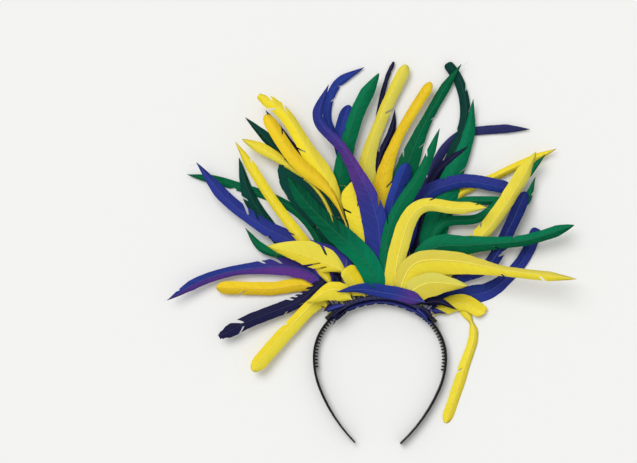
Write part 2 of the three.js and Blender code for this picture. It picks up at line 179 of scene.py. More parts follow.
CROWN_ROWS: dict[str, FeatherRow] = {
    "purple_crown_feather": FeatherRow(
        P, None, 15, 13, 12, 0.5, 0, Tip.POINT, ((40, 54), (19, 60), (0, 63), (-20, 65), (-42, 61))),
    "purple_band_feather": FeatherRow(
        P, None, None, 4.8, 4.8, 0.5, 0, Tip.POINT,
        ((48, 33), (32, 44.5), (0, 52.7), (-32, 44.5), (-48, 33)), 10.8),
    "purple_prong_feather": FeatherRow(
        U, None, None, 4, 3.5, 0.5, 0, Tip.POINT, ((-32, 44.5), (-40, 37), (-45, 30)), 12.1),
}
# Short ragged feathers laid over the two ends of the tape.
TUFT_ROWS: list[FeatherRow] = [
    FeatherRow(P, None, None, 4.5, 5, 0.5, 0, Tip.FRAY, ((-35, 49), (-43.5, 46.3), (-51, 43)), 18.8),
    FeatherRow(U, None, None, 3.5, 3.5, 0.5, 0, Tip.FRAY, ((-33, 47.5), (-40, 43), (-45.5, 37.5)), 19.4),
    FeatherRow(U, None, None, 4.5, 4.5, 0.5, 0, Tip.FRAY, ((35, 49), (42, 45), (47, 40)), 18.8),
    FeatherRow(P, None, None, 3, 3.5, 0.5, 0, Tip.FRAY, ((33, 47), (39, 42.5), (43, 38)), 19.4),
]
# Splits that show; side 1 is the left edge, looking from the quill to the tip.
SHOWN_SPLITS: dict[str, list[Split]] = {
    "purple_feather_01": [
        *(Split(0.3 + 0.045 * i, -1, 0.35 + 0.1 * (i % 3), 1 + 0.5 * (i % 2)) for i in range(6)),
        Split(0.87, -1, 0.9, 4.5)],
    "purple_feather_02": [Split(0.42, -1, 0.75, 3.0)],
    "purple_feather_04": [Split(0.62, -1, 0.8, 2.0), Split(0.68, -1, 0.85, 3.5)],
    "purple_feather_07": [Split(0.42, -1, 0.5, 2.5)],
    "purple_feather_15": [Split(0.6, -1, 0.7, 2.5)],
    "purple_band_feather": [
        Split(0.1 + 0.09 * i, 1, 0.4 + 0.13 * (i % 4), 0.7 + 0.5 * (i % 3)) for i in range(10)],
    "purple_prong_feather": [Split(0.5, -1, 0.7, 1.5), Split(0.75, 1, 0.7, 1.5)],
    "yellow_feather_04": [Split(0.62, 1, 0.85, 3.0), Split(0.52, 1, 0.8, 2.5)],
    "yellow_feather_08": [Split(0.96, -1, 0.8, 2.5), Split(0.93, 1, 0.7, 2.5)],
    "yellow_feather_10": [Split(0.9, -1, 0.85, 1.6), Split(0.84, 1, 0.5, 1.2)],
    "green_feather_06": [Split(0.8, 1, 0.8, 3.0)],
    "green_feather_09": [Split(0.8, -1, 0.5, 2.0), Split(0.88, -1, 0.5, 2.0)],
}
# Feathers whose barbs run to a finer tip than their solid.
FINE_TIPS: dict[str, Tip] = {
    "yellow_feather_07": Tip.LEAF,
    "yellow_feather_15": Tip.LEAF,
    "yellow_feather_17": Tip.LEAF,
}
# Feathers that have no chance splits.
WHOLE: set[str] = {"purple_feather_07"}
# Where a feather is twisted, as a share of its length.
TWISTS: dict[str, float] = {"yellow_feather_19": 0.33}


@dataclass(frozen=True)
class DyeAndPaintedShade:
    """How much of the second colour shows on each half of a feather, and how dark the feather is.

    The second colour on a half is partly a dyed hue and partly painted shade of a half tilted from the light.
    Bloom is where along the feather a patch of the second colour lies, and strength how full it is. Tone
    darkens the whole feather, and tip_tone its outer half, which on green_feather_04 is painted shadow.
    """

    left: float
    right: float
    bloom: float = 0.5
    strength: float = 0.0
    tone: float = 0.0
    tip_tone: float = 0.0


DYE_AND_PAINTED_SHADE: dict[str, DyeAndPaintedShade] = {
    "purple_feather_02": DyeAndPaintedShade(0.75, 0.05, 0.35, 0.5),
    "purple_feather_04": DyeAndPaintedShade(0.1, 0.1, 0.25, 0.5, 0.1),
    "purple_feather_06": DyeAndPaintedShade(0.0, 0.0),
    "purple_feather_07": DyeAndPaintedShade(0.12, 0.05, 0.6, 1.0),
    "purple_feather_11": DyeAndPaintedShade(0.0, 0.0, tone=-0.1),
    "purple_feather_13": DyeAndPaintedShade(1.0, 0.9, tone=-0.1),
    "purple_feather_15": DyeAndPaintedShade(0.3, 0.05, tone=0.1, tip_tone=0.55),
    "purple_feather_16": DyeAndPaintedShade(0.05, 0.1, tone=-0.2, tip_tone=0.35),
    "purple_crown_feather": DyeAndPaintedShade(0.05, 0.0, 0.15, 0.8),
    "purple_band_feather": DyeAndPaintedShade(0.1, 0.3, tone=0.5),
    "tape_end_tuft_1": DyeAndPaintedShade(0.1, 0.2, tone=0.35),
    "tape_end_tuft_4": DyeAndPaintedShade(0.1, 0.2, tone=0.5),
    "yellow_feather_04": DyeAndPaintedShade(0.25, 0.5),
    "yellow_feather_11": DyeAndPaintedShade(0.6, 0.8),
    "yellow_feather_14": DyeAndPaintedShade(0.5, 0.7),
    "yellow_feather_15": DyeAndPaintedShade(0.5, 0.6),
    # yellow_feather_16: the pale left half is painted shade, one half lit and one shaded.
    "yellow_feather_16": DyeAndPaintedShade(1.0, 0.25),
    "yellow_feather_17": DyeAndPaintedShade(1.0, 0.8),
    # green_feather_04: tip_tone is painted shadow of the feathers lying over its outer half.
    "green_feather_04": DyeAndPaintedShade(0.6, 1.0, tone=-0.15, tip_tone=0.62),
    "green_feather_08": DyeAndPaintedShade(0.0, 0.2, tone=0.25),
    "green_feather_11": DyeAndPaintedShade(0.6, 0.7, tone=-0.1),
    "green_feather_14": DyeAndPaintedShade(0.5, 0.1),
}


def smoothstep(x: np.ndarray, low: float, high: float) -> np.ndarray:
    """Eases from 0 at low to 1 at high.

    Args:
        x: Values to ease.
        low: Where the ease starts.
        high: Where it ends.

    Returns:
        Eased values from 0 to 1.
    """
    t = np.clip((x - low) / (high - low), 0.0, 1.0)
    return t * t * (3.0 - 2.0 * t)


@dataclass(frozen=True)
class Heap:
    """The stacked sheets that the feathers lie on, in millimetres of the band's own frame."""

    crown_top: float = 53.8
    crown_radius: float = 69.0
    band_thick: float = 2.2
    binding_thick: float = 3.2
    clearance: float = 0.3
    quill_width: float = 2.0
    step: float = 1.25
    lift_first: float = 0.7
    lift_growth: float = 0.015
    droop_length: float = 420.0
    rachis_thick: float = 1.0

    @property
    def centre(self) -> np.ndarray:
        """Centre of the crown's arc."""
        return np.array([0.0, self.crown_top - self.crown_radius])

    @property
    def binding_inner(self) -> float:
        """Radius of the binding's inner face."""
        return self.crown_radius + self.band_thick / 2 + self.clearance

    @property
    def binding_outer(self) -> float:
        """Radius of the binding's outer face."""
        return self.binding_inner + self.binding_thick

    @property
    def seat_radius(self) -> float:
        """Radius that the quills stand on."""
        return self.binding_outer + self.clearance

    def run_out(self, x: np.ndarray, y: np.ndarray) -> np.ndarray:
        """Run of a sheet out from the binding, which flattens towards the tips.

        Args:
            x: Plan places across.
            y: Plan places along.

        Returns:
            Run at each place, in millimetres.
        """
        out = np.maximum(0.0, np.hypot(x - self.centre[0], y - self.centre[1]) - self.seat_radius)
        return out * (1.0 - out / self.droop_length)

    def lift(self, layer: int) -> float:
        """Slope of a layer's sheet."""
        return math.tan(math.radians(self.lift_first * layer + self.lift_growth * layer**2))

    def height(self, layer: int, x: np.ndarray, y: np.ndarray) -> np.ndarray:
        """Height of a layer's sheet.

        Args:
            layer: Place in the heap.
            x: Plan places across.
            y: Plan places along.

        Returns:
            Heights in millimetres.
        """
        return self.rachis_thick / 2 + layer * self.step + self.run_out(x, y) * self.lift(layer)

    def room_below(self, layer: int, x: np.ndarray, y: np.ndarray) -> np.ndarray:
        """Space that opens between a layer and the one below it.

        Args:
            layer: Place in the heap.
            x: Plan places across.
            y: Plan places along.

        Returns:
            Space in millimetres.
        """
        if layer == 0:
            return np.zeros_like(x)
        return self.run_out(x, y) * (self.lift(layer) - self.lift(layer - 1))

    def quill_seat(self, angle: float, toward: Sequence[float]) -> np.ndarray:
        """Where a quill stands on the binding; a slanting quill stands off by its half width.

        Args:
            angle: Angle round the crown in degrees.
            toward: Next point of the feather.

        Returns:
            Plan place of the quill's end.
        """
        turn = math.radians(angle)
        outwards = np.array([math.sin(turn), math.cos(turn)])
        wall = self.centre + outwards * self.seat_radius
        heading = np.array(toward, float) - wall
        heading /= np.linalg.norm(heading)
        slant = abs(heading[0] * outwards[1] - heading[1] * outwards[0])
        return wall + outwards * slant * self.quill_width / 2


class MiddleLine:
    """Smooth plan line through a feather's points, read by its share of length."""

    def __init__(self, points: Sequence[Sequence[float]], steps: int = 80) -> None:
        """Samples a centripetal Catmull-Rom line.

        Args:
            points: Points that the line passes.
            steps: Samples in each span.
        """
        p = [np.array(q, float) for q in points]
        p = [2 * p[0] - p[1], *p, 2 * p[-1] - p[-2]]
        samples: list[np.ndarray] = []
        for a, b, c, d in zip(p, p[1:], p[2:], p[3:]):
            t0, t1, t2 = (math.sqrt(np.linalg.norm(n - m)) for m, n in ((a, b), (b, c), (c, d)))
            start = ((b - a) / t0 - (c - a) / (t0 + t1) + (c - b) / t1) * t1
            end = ((c - b) / t1 - (d - b) / (t1 + t2) + (d - c) / t2) * t1
            for t in np.linspace(0, 1, steps, endpoint=False):
                samples.append(
                    b + start * t + (3 * (c - b) - 2 * start - end) * t**2 + (2 * (b - c) + start + end) * t**3)
        samples.append(p[-2])
        self.points = np.array(samples)
        gaps = np.linalg.norm(np.diff(self.points, axis=0), axis=1)
        self.travel = np.concatenate([[0.0], np.cumsum(gaps)])
        self.length = float(self.travel[-1])
        ahead = np.gradient(self.points, axis=0)
        ahead /= np.linalg.norm(ahead, axis=1)[:, None]
        self.sides = np.stack([-ahead[:, 1], ahead[:, 0]], axis=1)

    def _read(self, values: np.ndarray, share: np.ndarray) -> np.ndarray:
        """Reads sampled values at shares of the length."""
        at = np.clip(share, 0, 1) * self.length
        return np.stack([np.interp(at, self.travel, values[:, i]) for i in (0, 1)], axis=-1)

    def at(self, share: np.ndarray) -> np.ndarray:
        """Plan points at shares of the length."""
        return self._read(self.points, share)

    def side(self, share: np.ndarray) -> np.ndarray:
        """Left-hand directions at shares of the length."""
        return self._read(self.sides, share)


@dataclass(frozen=True)
class DyeFinish:
    """Colours and gloss of one dye bath on feather barbs, in linear light; the yellows' paler second colour is
    partly painted shade.
    """

    light: Colour
    deep: Colour
    second: Colour
    quill: Colour
    roughness: float = 0.55
    sheen: float = 0.08


DYE_FINISHES: dict[Dye, DyeFinish] = {
    # The yellows' second colour is a paler yellow; where it fills one vane half it is painted shade.
    Dye.YELLOW: DyeFinish(
        light=(0.98, 0.80, 0.030), deep=(0.71, 0.50, 0.012),
        second=(0.68, 0.64, 0.115), quill=(0.86, 0.72, 0.12)),
    Dye.AMBER: DyeFinish(
        light=(0.92, 0.65, 0.025), deep=(0.60, 0.34, 0.006),
        second=(0.82, 0.65, 0.05), quill=(0.80, 0.56, 0.05)),
    Dye.GREEN: DyeFinish(
        light=(0.001, 0.155, 0.058), deep=(0.0004, 0.050, 0.020),
        second=(0.0008, 0.215, 0.100), quill=(0.004, 0.14, 0.06)),
    # Forest is a dark green; on green_feather_03 and green_feather_05 it is partly painted shade.
    Dye.FOREST: DyeFinish(
        light=(0.003, 0.052, 0.039), deep=(0.001, 0.020, 0.016),
        second=(0.008, 0.090, 0.072), quill=(0.008, 0.07, 0.05)),
    Dye.PURPLE: DyeFinish(
        light=(0.021, 0.050, 0.315), deep=(0.008, 0.016, 0.105),
        second=(0.13, 0.042, 0.29), quill=(0.04, 0.055, 0.26)),
    Dye.PLUM: DyeFinish(
        light=(0.011, 0.010, 0.040), deep=(0.004, 0.004, 0.015),
        second=(0.032, 0.036, 0.155), quill=(0.02, 0.018, 0.06)),
}


class NodeBench:
    """Adds and links nodes in one node tree."""

    def __init__(self, tree: bpy.types.NodeTree) -> None:
        """Keeps the tree that nodes go into."""
        self.tree = tree

    def feed(self, node: bpy.types.Node, inputs: Inputs) -> None:
        """Links or sets inputs of a node.

        Args:
            node: The node.
            inputs: A socket or a value for each input, by name or number.
        """
        for key, value in inputs.items():
            if isinstance(value, Socket):
                self.tree.links.new(value, node.inputs[key])
            else:
                node.inputs[key].default_value = value

    def add(self, kind: str, inputs: Optional[Inputs] = None, **settings: object) -> bpy.types.Node:
        """Adds a node.

        Args:
            kind: Node type's identifier.
            inputs: A socket or a value for each input, by name or number.
            **settings: Properties of the node.

        Returns:
            The new node.
        """
        node = self.tree.nodes.new(kind)
        for key, value in settings.items():
            setattr(node, key, value)
        self.feed(node, inputs or {})
        return node

    def math(self, operation: str, *terms: object) -> Socket:
        """Adds a Math node whose inputs are sockets or numbers."""
        return self.add("ShaderNodeMath", dict(enumerate(terms)), operation=operation).outputs[0]

    def vector(self, *terms: object) -> Socket:
        """Makes a vector from sockets or numbers."""
        return self.add("ShaderNodeCombineXYZ", dict(enumerate(terms))).outputs[0]

    def axes(self, vector: Socket) -> list[Socket]:
        """Splits a vector into its three numbers."""
        return list(self.add("ShaderNodeSeparateXYZ", {0: vector}).outputs)

    def heading(self, direction: Socket) -> Socket:
        """Angle of a direction in the plan."""
        x, y, _ = self.axes(direction)
        return self.math("ARCTAN2", y, x)

    def place(self) -> Socket:
        """Places in the piece's own frame."""
        return self.add("ShaderNodeTexCoord").outputs["Object"]

    def noise(self, place: Socket, scale: float, detail: float = 2.0) -> Socket:
        """Adds a noise texture."""
        return self.add("ShaderNodeTexNoise", {"Vector": place, "Scale": scale, "Detail": detail}).outputs[0]

    def blend(self, factor: Socket, a: object, b: object) -> Socket:
        """Mixes colours a and b, each a socket or an RGB value; the factor is how much of b shows."""
        first, second = (c if isinstance(c, Socket) else (*c, 1.0) for c in (a, b))
        return self.add("ShaderNodeMix", {0: factor, 6: first, 7: second}, data_type="RGBA").outputs[2]

    def bump(self, height: Socket, strength: float, depth: float, normal: Optional[Socket] = None) -> Socket:
        """Adds a bump, over another one where there is one.

        Args:
            height: Relief from 0 to 1.
            strength: How much of the bump shows.
            depth: Height of the full relief in metres.
            normal: The bump that this one lies on.

        Returns:
            The normal.
        """
        node = self.add("ShaderNodeBump", {"Height": height, "Strength": strength, "Distance": depth})
        if normal is not None:
            self.feed(node, {"Normal": normal})
        return node.outputs[0]

    def mark(self, name: str, kind: str) -> Socket:
        """Reads a named value of each point."""
        node = self.add("GeometryNodeInputNamedAttribute", {"Name": name}, data_type=kind)
        return node.outputs["Attribute"]

    def chance(self, low: float, high: float, seed: Socket) -> Socket:
        """Draws a random number for each point."""
        inputs = {2: low, 3: high, "Seed": seed}
        return self.add("FunctionNodeRandomValue", inputs, data_type="FLOAT").outputs[1]

    def tube(self, line: Socket, ring: bpy.types.Node, scale: Socket) -> Socket:
        """Draws a closed tube along a line, scaled at each point."""
        inputs = {"Curve": line, "Profile Curve": ring.outputs["Curve"], "Scale": scale, "Fill Caps": True}
        return self.add("GeometryNodeCurveToMesh", inputs).outputs["Mesh"]

    def points(self, line: Socket, count: Socket) -> bpy.types.bpy_prop_collection:
        """Spreads a count of points along a line."""
        return self.add("GeometryNodeCurveToPoints", {"Curve": line, "Count": count}, mode="COUNT").outputs

    def real(self, shape: Socket) -> Socket:
        """Turns instances into real faces."""
        return self.add("GeometryNodeRealizeInstances", {"Geometry": shape}).outputs["Geometry"]

    def coat(self, shape: Socket, material: Socket) -> Socket:
        """Gives a shape a material."""
        inputs = {"Geometry": shape, "Material": material}
        return self.add("GeometryNodeSetMaterial", inputs).outputs["Geometry"]

    def join(self, *shapes: Socket) -> Socket:
        """Joins shapes in their order.

        Args:
            *shapes: What is joined.

        Returns:
            The whole.
        """
        node = self.add("GeometryNodeJoinGeometry")
        for shape in shapes:
            self.feed(node, {0: shape})
        return node.outputs[0]


def new_group(
    name: str, kind: str, inputs: dict[str, str], outputs: dict[str, str]
) -> tuple[NodeBench, bpy.types.bpy_prop_collection, bpy.types.Node]:
    """Makes a node group with its sockets.

    Args:
        name: Name of the group.
        kind: Type of the node tree.
        inputs: Kind of each input.
        outputs: Kind of each output.

    Returns:
        A bench for the group, the sockets that lead in and the node that leads out.
    """
    tree = bpy.data.node_groups.new(name, kind)
    for way, sockets in (("INPUT", inputs), ("OUTPUT", outputs)):
        for label, socket in sockets.items():
            tree.interface.new_socket(name=label, in_out=way, socket_type=f"NodeSocket{socket}")
    bench = NodeBench(tree)
    return bench, bench.add("NodeGroupInput").outputs, bench.add("NodeGroupOutput")


def barb_pattern() -> bpy.types.NodeTree:
    """Makes the shared pattern of barbs: fine lines and broader clumps that follow the UV rows.

    Returns:
        A shader group with Shade, Height and Roll outputs.
    """
    fine_shade, clump_shade, clump_height = 0.55, 0.75, 0.6
    bench, inlet, outlet = new_group(
        "barb_pattern", "ShaderNodeTree", {"UV": "Vector", "Tone": "Float", "Depth": "Float"},
        {"Shade": "Float", "Height": "Float", "Roll": "Float"})
    across, along, _ = bench.axes(inlet["UV"])

    def lines(across_scale: float, along_scale: float, detail: float) -> Socket:
        """Noise stretched along the barbs."""
        sizes = (bench.math("MULTIPLY", across, across_scale), bench.math("MULTIPLY", along, along_scale))
        return bench.noise(bench.vector(*sizes, inlet["Tone"]), 1.0, detail)

    fine = lines(across_scale=3.0, along_scale=230.0, detail=1.0)
    clump = lines(across_scale=1.6, along_scale=34.0, detail=2.0)
    shade = bench.math("MULTIPLY_ADD", fine, fine_shade, bench.math("MULTIPLY", clump, clump_shade))
    shade = bench.math("SUBTRACT", shade, 0.5)
    shade = bench.math("MULTIPLY_ADD", shade, inlet["Depth"], inlet["Tone"])
    off_middle = bench.math("SUBTRACT", across, 0.5)
    fall = bench.math("MULTIPLY", off_middle, off_middle)
    bench.feed(outlet, {
        "Shade": bench.add("ShaderNodeClamp", {"Value": shade}).outputs[0],
        "Height": bench.math("MULTIPLY_ADD", clump, clump_height, fine),
        "Roll": bench.math("MULTIPLY_ADD", fall, -4.0, 1.0),
    })
    return bench.tree


def blank_material(name: str) -> tuple[bpy.types.Material, NodeBench, bpy.types.Node]:
    """Makes a node material with only its shader and output.

    Args:
        name: Name of the material.

    Returns:
        The material, a bench for its nodes and its Principled BSDF.
    """
    material = bpy.data.materials.new(name)
    material.use_nodes = True
    shader = next(n for n in material.node_tree.nodes if n.type == "BSDF_PRINCIPLED")
    return material, NodeBench(material.node_tree), shader


@dataclass
class FeatherMaterials:
    """Vane and quill materials for each dye bath."""

    pattern: bpy.types.NodeTree
    vanes: dict[Dye, bpy.types.Material] = field(default_factory=dict)
    quills: dict[Dye, bpy.types.Material] = field(default_factory=dict)
    shade_depth: float = 1.15
    roll_depth: float = 0.0014
    barb_depth: float = 0.0004
    barb_strength: float = 0.35
    quill_grain: float = 240.0

    def make(self) -> None:
        """Makes both materials for every dye."""
        for dye, finish in DYE_FINISHES.items():
            self.vanes[dye] = self.vane(f"{dye.value}_barbs", finish)
            self.quills[dye] = self.quill(f"{dye.value}_quill", finish)

    def vane(self, name: str, finish: DyeFinish) -> bpy.types.Material:
        """Makes the satin barb material.

        Args:
            name: Name of the material.
            finish: Colours and gloss.

        Returns:
            The material.
        """
        material, bench, shader = blank_material(name)
        tone, tint = (
            bench.add("ShaderNodeAttribute", attribute_name=mark).outputs["Fac"] for mark in ("tone", "tint"))
        uv = bench.add("ShaderNodeUVMap", uv_map="barbs").outputs[0]
        inputs = {"UV": uv, "Tone": tone, "Depth": self.shade_depth}
        barbs = bench.add("ShaderNodeGroup", inputs, node_tree=self.pattern).outputs
        # The second colour on a half is partly a dyed hue and partly painted shade; the tone mark also carries
        # painted half shade.
        dyed = bench.blend(tint, finish.light, finish.second)
        roll = bench.bump(barbs["Roll"], 1.0, self.roll_depth)
        bench.feed(shader, {
            "Base Color": bench.blend(barbs["Shade"], dyed, finish.deep),
            "Roughness": finish.roughness,
            "Sheen Weight": finish.sheen,
            "Sheen Roughness": 0.35,
            "Sheen Tint": (*finish.light, 1.0),
            "Specular IOR Level": 0.06,
            "Normal": bench.bump(barbs["Height"], self.barb_strength, self.barb_depth, roll),
        })
        return material

    def quill(self, name: str, finish: DyeFinish) -> bpy.types.Material:
        """Makes the smoother dyed quill material.

        Args:
            name: Name of the material.
            finish: Colours and gloss.

        Returns:
            The material.
        """
        material, bench, shader = blank_material(name)
        pale = tuple(min(1.0, c * 1.25 + 0.02) for c in finish.quill)
        grain = bench.noise(bench.place(), self.quill_grain)
        bench.feed(shader, {
            "Base Color": bench.blend(grain, finish.quill, pale),
            "Roughness": 0.4,
            "Specular IOR Level": 0.2,
        })
        return material


def feather_tree() -> bpy.types.NodeTree:
    """Makes the node tree that turns a vane with a loose middle line into a whole feather.

    Points marked is_quill become a tapered quill, and loose barbs stand along it.

    Returns:
        The geometry node tree.
    """
    bench, inlet, outlet = new_group("feather_parts", "GeometryNodeTree", {
        "Geometry": "Geometry", "Quill Radius": "Float", "Tip Radius": "Float", "Barb Count": "Int",
        "Barb Length": "Float", "Barb Radius": "Float", "Seed": "Int", "Vane Finish": "Material",
        "Quill Finish": "Material"}, {"Geometry": "Geometry"})
    inputs = {"Geometry": inlet["Geometry"], "Selection": bench.mark("is_quill", "BOOLEAN")}
    parts = bench.add("GeometryNodeSeparateGeometry", inputs, domain="POINT").outputs
    line = bench.add("GeometryNodeMeshToCurve", {"Mesh": parts["Selection"]}).outputs["Curve"]
    taper = bench.add("ShaderNodeMapRange", {
        "Value": bench.mark("along", "FLOAT"), "To Min": inlet["Quill Radius"], "To Max": inlet["Tip Radius"]})
    ring = bench.add("GeometryNodeCurvePrimitiveCircle", {"Resolution": 6, "Radius": 1.0})
    quill = bench.coat(bench.tube(line, ring, taper.outputs["Result"]), inlet["Quill Finish"])

    strand = bench.add("GeometryNodeCurvePrimitiveBezierSegment", {
        "Resolution": 5, "Start": (0, 0, 0), "Start Handle": (0.3, 0.0, 0.06),
        "End Handle": (0.7, 0.1, 0.08), "End": (1.0, 0.24, 0.0)})
    along = bench.add("GeometryNodeSplineParameter").outputs["Factor"]
    reed = bench.add("GeometryNodeCurvePrimitiveCircle", {
        "Resolution": 3, "Radius": bench.math("DIVIDE", inlet["Barb Radius"], inlet["Barb Length"])})
    barb = bench.tube(strand.outputs["Curve"], reed, bench.math("MULTIPLY_ADD", along, -0.75, 1.0))

    def chance(low: float, high: float, salt: int) -> Socket:
        """A random number for each barb."""
        return bench.chance(low, high, bench.math("ADD", inlet["Seed"], float(salt)))

    roots = bench.points(line, inlet["Barb Count"])
    side = bench.math("SIGN", chance(-1, 1, 11))
    aside = bench.math("MULTIPLY", side, chance(0.35, 0.95, 12))
    turn = bench.math("ADD", bench.heading(roots["Tangent"]), aside)
    barbs = bench.add("GeometryNodeInstanceOnPoints", {
        "Points": roots["Points"],
        "Instance": barb,
        "Rotation": bench.vector(bench.math("MULTIPLY", side, 0.2), chance(-0.22, -0.02, 13), turn),
        "Scale": bench.math("MULTIPLY", inlet["Barb Length"], chance(0.55, 1.1, 14)),
    })
    soft = bench.real(bench.join(parts["Inverted"], barbs.outputs["Instances"]))
    bench.feed(outlet, {0: bench.join(bench.coat(soft, inlet["Vane Finish"]), quill)})
    return bench.tree


def run_tree(
    name: str, mesh: bpy.types.Mesh, tree: bpy.types.NodeTree, values: dict[str, object]
) -> bpy.types.Object:
    """Runs a geometry node tree on a mesh and keeps the result as a plain mesh.

    Args:
        name: Name of the finished piece.
        mesh: What the tree starts from.
        tree: The geometry node tree.
        values: The tree's inputs by name.

    Returns:
        The finished object, with no modifier left.
    """
    piece = bpy.data.objects.new(name, mesh)
    bpy.context.scene.collection.objects.link(piece)
    modifier = piece.modifiers.new("nodes", "NODES")
    modifier.node_group = tree
    for item in tree.interface.items_tree:
        if item.item_type == "SOCKET" and item.in_out == "INPUT" and item.name in values:
            modifier[item.identifier] = values[item.name]
    depsgraph = bpy.context.evaluated_depsgraph_get()
    made = bpy.data.meshes.new_from_object(
        piece.evaluated_get(depsgraph), preserve_all_data_layers=True, depsgraph=depsgraph)
    piece.modifiers.clear()
    piece.data = made
    made.name = name
    bpy.data.meshes.remove(mesh)
    return piece


@dataclass(frozen=True)
class BarbRows:
    """A vane's rows of barbs.

    Roots holds the share of the length where each row starts, share and across the place of each point, trim
    how much of the edge is cut away, and cuts how far out a split starts in each row and half (over 1 where
    there is none).
    """

    roots: np.ndarray
    share: np.ndarray
    across: np.ndarray
    trim: np.ndarray
    cuts: np.ndarray


@dataclass
class Feather:
    """One dyed feather: a closed thin vane with slanting barbs and splits, its quill and loose barbs.

    Lengths are in millimetres, and the other numbers are shares of the length or of the half width.
    """

    name: str
    row: FeatherRow
    heap: Heap
    shift: np.ndarray
    seed: int
    row_pitch: float = 2.0
    fewest_rows: int = 16
    half_columns: int = 6
    vane_thick: float = 0.3
    edge_thick: float = 0.14
    bare_most: float = 0.52
    opening_most: float = 0.2
    opening_length: float = 12.0
    neck_ease: float = 0.18
    tip_least: float = 0.07
    twist_depth: float = 0.55
    twist_spread: float = 0.035
    barb_sweep: float = 1.25
    sweep_most: float = 0.7
    sweep_curve: float = 1.15
    cup: float = 0.22
    cup_room: float = 0.9
    cup_least: float = 0.45
    cup_curve: float = 1.3
    ripple_room: float = 0.45
    split_every: float = 75.0
    split_rows: int = 4
    edge_fine: float = 0.02
    edge_broad: float = 0.05
    edge_rows: int = 4
    fray: float = 0.4
    fray_from: float = 0.84
    clump_chance: float = 0.1
    clump_tone: float = 0.8
    clump_lift: float = 1.6
    painted_half_blend: float = 0.2
    tint_blend: float = 0.12
    bloom_spread: float = 0.14
    quill_radius: float = 0.65
    tip_radius: float = 0.16
    quill_end: float = 0.985
    quill_pitch: float = 5.0
    quill_rise: float = 0.1
    barb_pitch: float = 9.0
    barb_share: float = 0.42
    barb_radius: float = 0.09
    crease: float = 48.0

    def __post_init__(self) -> None:
        """Lays out the middle line and the feather's own chances."""
        points = [tuple(p) for p in self.row.path]
        if self.row.seat is not None:
            points = [tuple(self.heap.quill_seat(self.row.seat, points[0])), *points]
        self.line = MiddleLine(points)
        self.bare = min(self.bare_most, self.row.bare / self.line.length)
        self.chance = random.Random(self.seed)
        self.rachis_side = self.chance.uniform(-0.22, 0.22)
        self.roll = math.radians(self.chance.uniform(-16, 16))
        self.curl = self.chance.uniform(-1.0, 3.5)
        self.wave = self.chance.uniform(26, 48)
        self.phase = self.chance.uniform(0, math.tau)
        self.tone = self.chance.uniform(-0.1, 0.12)
        plain = DyeAndPaintedShade(self.chance.uniform(0, 0.4), self.chance.uniform(0, 0.4))
        # Painted shade: one half of the vane is drawn darker and the other lighter, as if the halves tilted
        # towards and away from the light.
        self.painted_half_shade = self.chance.choice((-1, 1)) * self.chance.uniform(0.08, 0.2)
        self.dye_and_shade = DYE_AND_PAINTED_SHADE.get(self.name, plain)

    def width(self, share: np.ndarray) -> np.ndarray:
        """Width of the vane, which differs from its solid's only in finer tips and twists.

        Args:
            share: Shares of the length.

        Returns:
            Widths in millimetres.
        """
        row, length = self.row, self.line.length
        ease = smoothstep(share, row.neck - self.neck_ease, row.neck + self.neck_ease)
        broad = row.vane + (row.blade - row.vane) * ease
        opening = min(self.opening_most, (self.opening_length + row.bare / 4) / length)
        open_up = smoothstep(share, self.bare * 0.75, self.bare + opening)
        shown = FINE_TIPS.get(self.name, row.tip)
        left = np.clip((1 - share) * length / (shown.value * row.blade), 0, 1)
        rounded = np.sqrt(1 - (1 - left) ** 2)
        tip = {
            Tip.POINT: left**0.8,
            Tip.ROUND: rounded,
            Tip.BLUNT: 0.35 + 0.65 * rounded,
            Tip.FRAY: 0.5 + 0.5 * left,
            Tip.LEAF: left**0.7,
        }[shown]
        pinch = 1.0
        if self.name in TWISTS:
            off = (share - TWISTS[self.name]) / self.twist_spread
            pinch = 1 - self.twist_depth * np.exp(-(off**2))
        quill = self.heap.quill_width
        return (quill + (broad - quill) * open_up) * np.maximum(self.tip_least, tip) * pinch

    def surface(self, share: np.ndarray, across: np.ndarray, trim: np.ndarray) -> np.ndarray:
        """Places on the vane.

        Args:
            share: Shares of the length.
            across: From -1 at the right edge to 1 at the left.
            trim: Share of the half width cut off at the edge.

        Returns:
            Points in millimetres of the band's frame.
        """
        half = self.width(share) / 2
        reach = np.abs(across)
        lateral = half * (across * (1 - trim * reach**3) + self.rachis_side * (1 - reach))
        sideways = self.line.side(share)
        ahead = np.stack([sideways[..., 1], -sideways[..., 0]], axis=-1)
        lead = -self.row.slant * across * half * smoothstep(share, 0.5, 1.0)
        plan = self.line.at(share) + sideways * lateral[..., None] + ahead * lead[..., None]
        x, y = plan[..., 0], plan[..., 1]
        if self.row.height is None:
            z = self.heap.height(self.row.layer, x, y)
            below = self.heap.room_below(self.row.layer, x, y)
            above = self.heap.room_below(self.row.layer + 1, x, y)
        else:
            z = np.full_like(x, self.row.height)
            below = above = np.zeros_like(x)
        fall = np.minimum(self.cup * 2 * half, self.cup_room * below + self.cup_least)
        z = z - fall * reach**self.cup_curve
        ripple = 0.5 + 0.5 * np.sin(math.tau * share * self.line.length / self.wave + self.phase)
        z = z + self.ripple_room * above * reach * ripple
        free = smoothstep(share, 0.3, 1.0)
        z = z + free * lateral * math.tan(self.roll) + free**2 * self.curl
        return np.stack([x, y, np.maximum(z, self.vane_thick)], axis=-1)

    def splits(self) -> list[Split]:
        """Lists the splits that show, and small chance ones.

        Returns:
            The splits.
        """
        draw = self.chance
        count = 0 if self.name in WHOLE else int(self.line.length / self.split_every)
        small = [
            Split(
                share=draw.uniform(0.35, 0.95), side=draw.choice((-1, 1)),
                depth=draw.uniform(0.3, 0.75), gap=draw.uniform(0.3, 1.2))
            for _ in range(count)]
        return [*SHOWN_SPLITS.get(self.name, []), *small]

